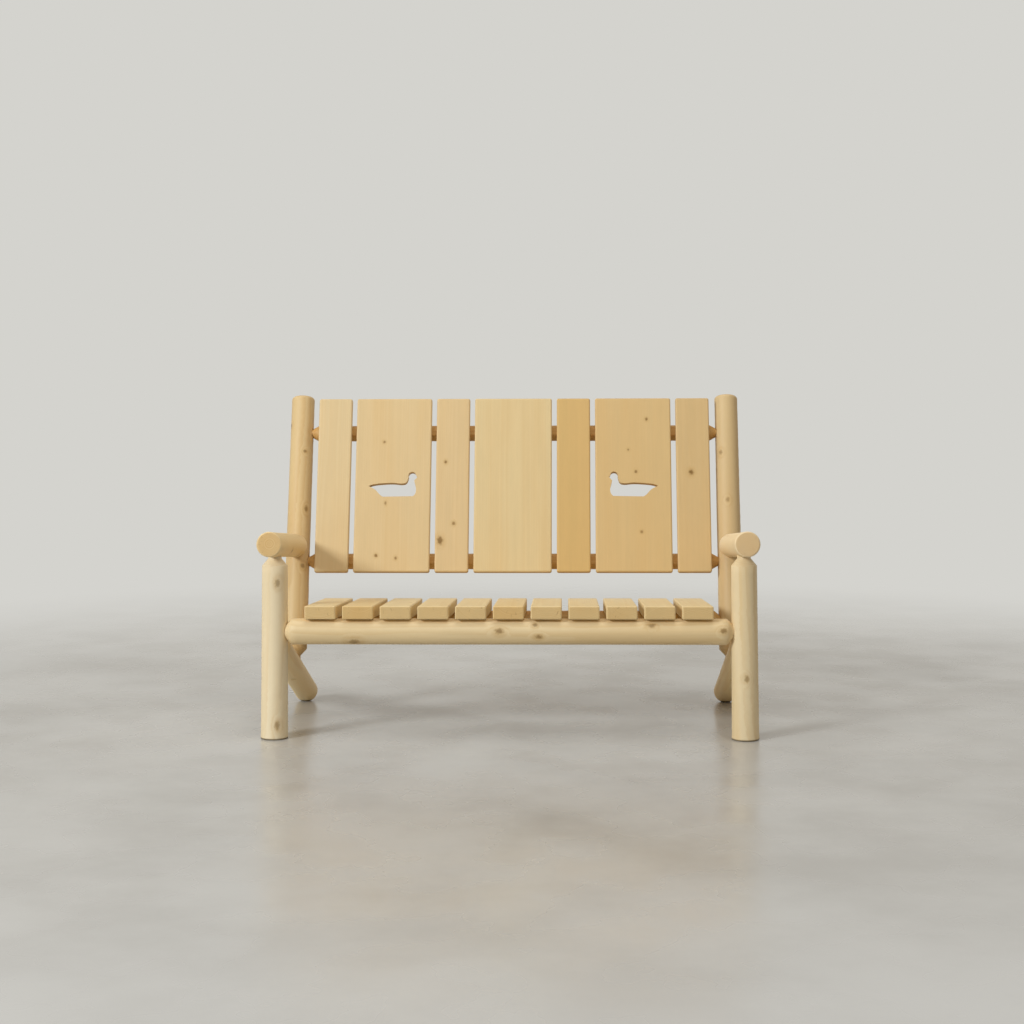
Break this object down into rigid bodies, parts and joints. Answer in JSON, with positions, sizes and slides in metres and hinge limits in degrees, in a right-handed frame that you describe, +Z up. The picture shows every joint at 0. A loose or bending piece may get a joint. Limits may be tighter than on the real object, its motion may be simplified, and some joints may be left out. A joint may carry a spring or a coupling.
{
  "type": "rustic log bench",
  "caption": "Rustic log bench with sloping rear legs, round arms, slatted seat and a board back with duck cut-outs.",
  "frame": {"origin": "on the floor, under the middle of the bench's overall width and depth", "axes": "+X along the bench to the sitter's left, seen from the front to the right; +Y from the front to the back; +Z up"},
  "size_m": [1.4208, 0.7474, 0.9778],
  "materials": {
    "log_wood": "peeled and sanded softwood log, clear satin",
    "seat_board": "planed softwood, clear satin",
    "back_board": "planed softwood, clear satin",
    "screw_steel": "zinc-plated steel"
  },
  "bodies": {
    "root": {"front_leg_left": "log_wood", "front_leg_right": "log_wood", "arm_left": "log_wood", "arm_right": "log_wood", "side_rail_left": "log_wood", "side_rail_right": "log_wood", "back_post_left": "log_wood", "back_post_right": "log_wood", "front_seat_rail": "log_wood", "rear_seat_rail": "log_wood", "lower_back_rail": "log_wood", "upper_back_rail": "log_wood", "seat_slat_01": "seat_board", "seat_slat_02": "seat_board", "seat_slat_03": "seat_board", "seat_slat_04": "seat_board", "seat_slat_05": "seat_board", "seat_slat_06": "seat_board", "seat_slat_07": "seat_board", "seat_slat_08": "seat_board", "seat_slat_09": "seat_board", "seat_slat_10": "seat_board", "seat_slat_11": "seat_board", "back_slat_1": "back_board", "back_slat_2": "back_board", "back_slat_3": "back_board", "back_slat_4": "back_board", "back_slat_5": "back_board", "back_slat_6": "back_board", "back_slat_7": "back_board", "seat_slat_screws": "screw_steel", "back_slat_screws": "screw_steel", "rail_tenon_screws": "screw_steel", "arm_lag_screws": "screw_steel", "post_lag_screws": "screw_steel"}
  },
  "joints": []
}
